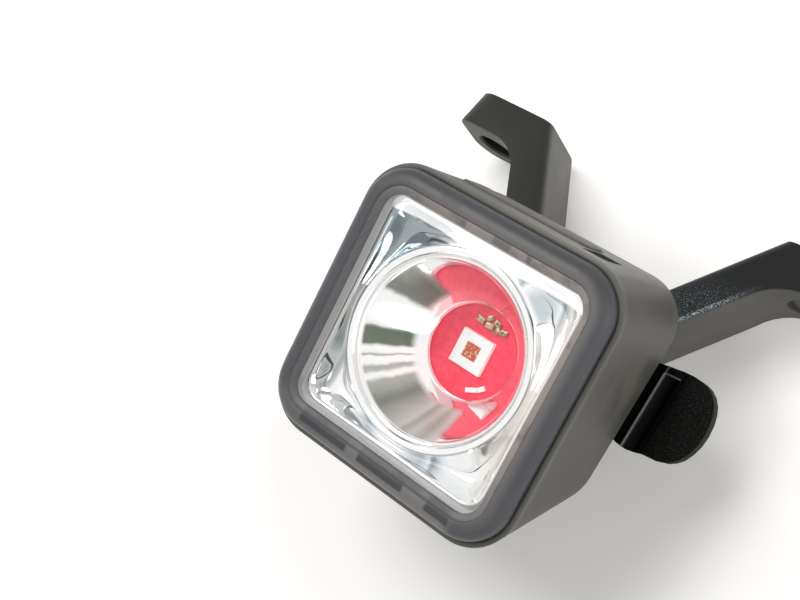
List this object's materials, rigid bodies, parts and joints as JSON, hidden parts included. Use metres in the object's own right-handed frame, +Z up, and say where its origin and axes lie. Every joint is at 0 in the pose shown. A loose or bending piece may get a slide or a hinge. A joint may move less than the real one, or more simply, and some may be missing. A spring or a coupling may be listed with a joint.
{
  "type": "bicycle rear light",
  "caption": "Square rear bicycle lamp with a chromed bowl reflector, slid into a two-armed saddle bracket and held by a thumb release lever.",
  "frame": {"origin": "midway between the two saddle bolts, on the top face of the bracket's pads", "axes": "+X to the right of the lamp seen from behind the bicycle, +Y from the lens towards the front of the bicycle, +Z up"},
  "size_m": [0.0524, 0.0477, 0.0374],
  "materials": {
    "housing_plastic": "fine matt grain, warm dark grey",
    "bezel_plastic": "satin, dark blue-grey",
    "lens_clear": "clear polycarbonate, polished",
    "gasket_rubber": "matt black",
    "gasket_clear": "translucent silicone",
    "reflector_chrome": "vacuum metallised, bright",
    "board_red": "red solder mask",
    "led_white": "white moulded package",
    "die_red": "clear resin over a red emitter",
    "chip_tan": "sintered ceramic",
    "indicator_resin": "yellowish resin",
    "window_smoke": "smoked, polished",
    "switch_black": "moulded",
    "plunger_white": "moulded",
    "button_rubber": "soft matt, matching the housing",
    "cell_foil": "aluminium laminate pouch",
    "foam_grey": "closed-cell foam tape",
    "lead_red": "insulated wire",
    "socket_steel": "plated sheet steel",
    "tongue_black": "moulded",
    "cover_plastic": "matt dark grey",
    "screw_steel": "stainless",
    "bracket_nylon": "glass-filled nylon, part grained and part smooth",
    "lever_black": "black acetal with a fine-grained thumb pad",
    "pin_steel": "ground steel",
    "spring_steel": "drawn spring wire"
  },
  "bodies": {
    "bracket": {"bracket": "bracket_nylon", "lever_pin": "pin_steel", "lever_spring": "spring_steel"},
    "lamp": {"housing": "housing_plastic", "bezel": "bezel_plastic", "front_lens": "lens_clear", "lens_gasket": "gasket_clear", "reflector": "reflector_chrome", "led_board": "board_red", "led_package": "led_white", "led_die": "die_red", "board_components": "chip_tan", "indicator_led": "indicator_resin", "indicator_window": "window_smoke", "tact_switch": "switch_black", "battery": "cell_foil", "battery_pad": "foam_grey", "battery_leads": "lead_red", "charging_port": "socket_steel", "port_tongue": "tongue_black", "rear_cover": "cover_plastic", "cover_seal": "gasket_rubber", "cover_screws": "screw_steel"},
    "lever": {"release_lever": "lever_black"},
    "button": {"power_button": "button_rubber", "switch_plunger": "plunger_white"},
    "flap": {"port_cover": "gasket_rubber"}
  },
  "joints": [
    {"name": "lamp_slide", "type": "slide", "parent": "bracket", "child": "lamp", "axis": [0, 0.1323, 0.9912], "range_m": [0, 0.016]},
    {"name": "lever_press", "type": "hinge", "parent": "bracket", "child": "lever", "pos_m": [0.0104, -0.01788, -0.02], "axis": [0, 0.1323, 0.9912], "range_deg": [0, 8], "stiffness_Nm_per_rad": 0.1, "springref_deg": -8.59, "deforming": ["lever_spring"]},
    {"name": "button_press", "type": "slide", "parent": "lamp", "child": "button", "axis": [0, 0, -1], "range_m": [0, 0.0005], "stiffness_N_per_m": 400, "springref_m": -0.0005},
    {"name": "flap_open", "type": "hinge", "parent": "lamp", "child": "flap", "pos_m": [0, -0.02604, -0.0332], "axis": [1, 0, 0], "range_deg": [0, 95], "stiffness_Nm_per_rad": 0.0002, "springref_deg": -5.73}
  ]
}
